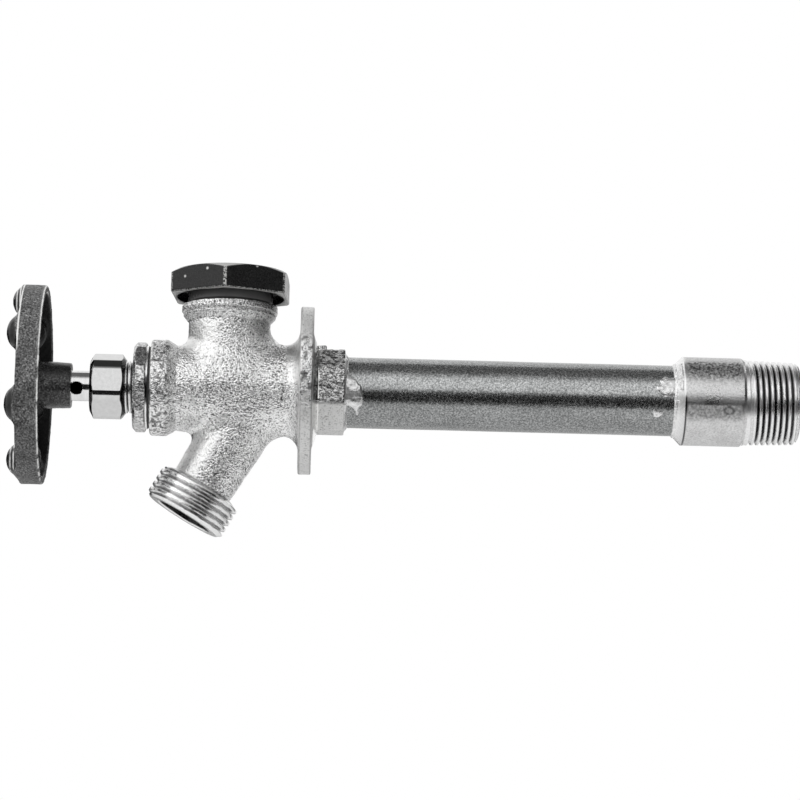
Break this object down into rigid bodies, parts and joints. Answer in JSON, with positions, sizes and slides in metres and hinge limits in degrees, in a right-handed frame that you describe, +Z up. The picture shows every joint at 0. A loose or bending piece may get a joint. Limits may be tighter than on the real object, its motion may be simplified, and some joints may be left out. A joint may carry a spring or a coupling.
{
  "type": "frost free sillcock",
  "caption": "Frost free wall sillcock: handwheel and bonnet on a cast body with hose spout, vacuum-breaker cap, wall flange, long barrel tube and threaded inlet.",
  "frame": {"origin": "centre of the wall flange's back face, on the barrel axis, midway between the two wall screw holes", "axes": "+X along the barrel into the wall, +Z up through the vacuum-breaker cap, handwheel at -X"},
  "size_m": [0.2475, 0.07, 0.0843],
  "materials": {
    "handle_paint": "charcoal paint on a rough die casting, worn at the edges",
    "screw_steel": "bright zinc",
    "stem_metal": "bright plated, turned",
    "rod_brass": "bare turned brass",
    "polished_nut": "polished chrome",
    "packing": "graphited packing",
    "plated_bonnet": "plated, rough between the wrench flats",
    "seal_rubber": "matte black rubber",
    "plated_casting": "satin plated sand casting",
    "black_cap": "glossy black",
    "white_plastic": "moulded acetal",
    "tinned_tube": "drawn tube, mottled tin plating",
    "solder": "bright flowed solder",
    "plated_inlet": "satin plated, turned"
  },
  "bodies": {
    "tap_body": {"valve_body": "plated_casting", "bonnet": "plated_bonnet", "bonnet_gasket": "seal_rubber", "packing_nut": "polished_nut", "packing_gland": "rod_brass", "stem_packing": "packing", "vacuum_breaker_cap": "black_cap", "cap_gasket": "seal_rubber", "barrel_tube": "tinned_tube", "front_solder_ring": "solder", "inlet_fitting": "plated_inlet", "rear_solder_ring": "solder"},
    "plunger": {"plunger": "rod_brass", "swivel_pins": "screw_steel", "stem_guide": "white_plastic", "seat_washer": "seal_rubber", "seat_washer_screw": "rod_brass"},
    "spindle": {"handwheel": "handle_paint", "handle_screw": "screw_steel", "stem": "stem_metal", "stem_rod": "rod_brass", "stem_rod_pin": "screw_steel"},
    "float": {"vacuum_breaker_float": "white_plastic", "float_seal": "seal_rubber"}
  },
  "joints": [
    {"name": "plunger_slide", "type": "slide", "parent": "tap_body", "child": "plunger", "axis": [-1, 0, 0], "range_m": [0, 0.0075]},
    {"name": "handle_turn", "type": "hinge", "parent": "plunger", "child": "spindle", "pos_m": [0, 0, 0], "axis": [-1, 0, 0], "range_deg": [0, 1080]},
    {"name": "float_lift", "type": "slide", "parent": "tap_body", "child": "float", "axis": [0, 0, 1], "range_m": [0, 0.0023]}
  ],
  "couplings": [
    {"joint": "plunger_slide", "follows": "handle_turn", "m_per_rad": 0.0003978}
  ]
}
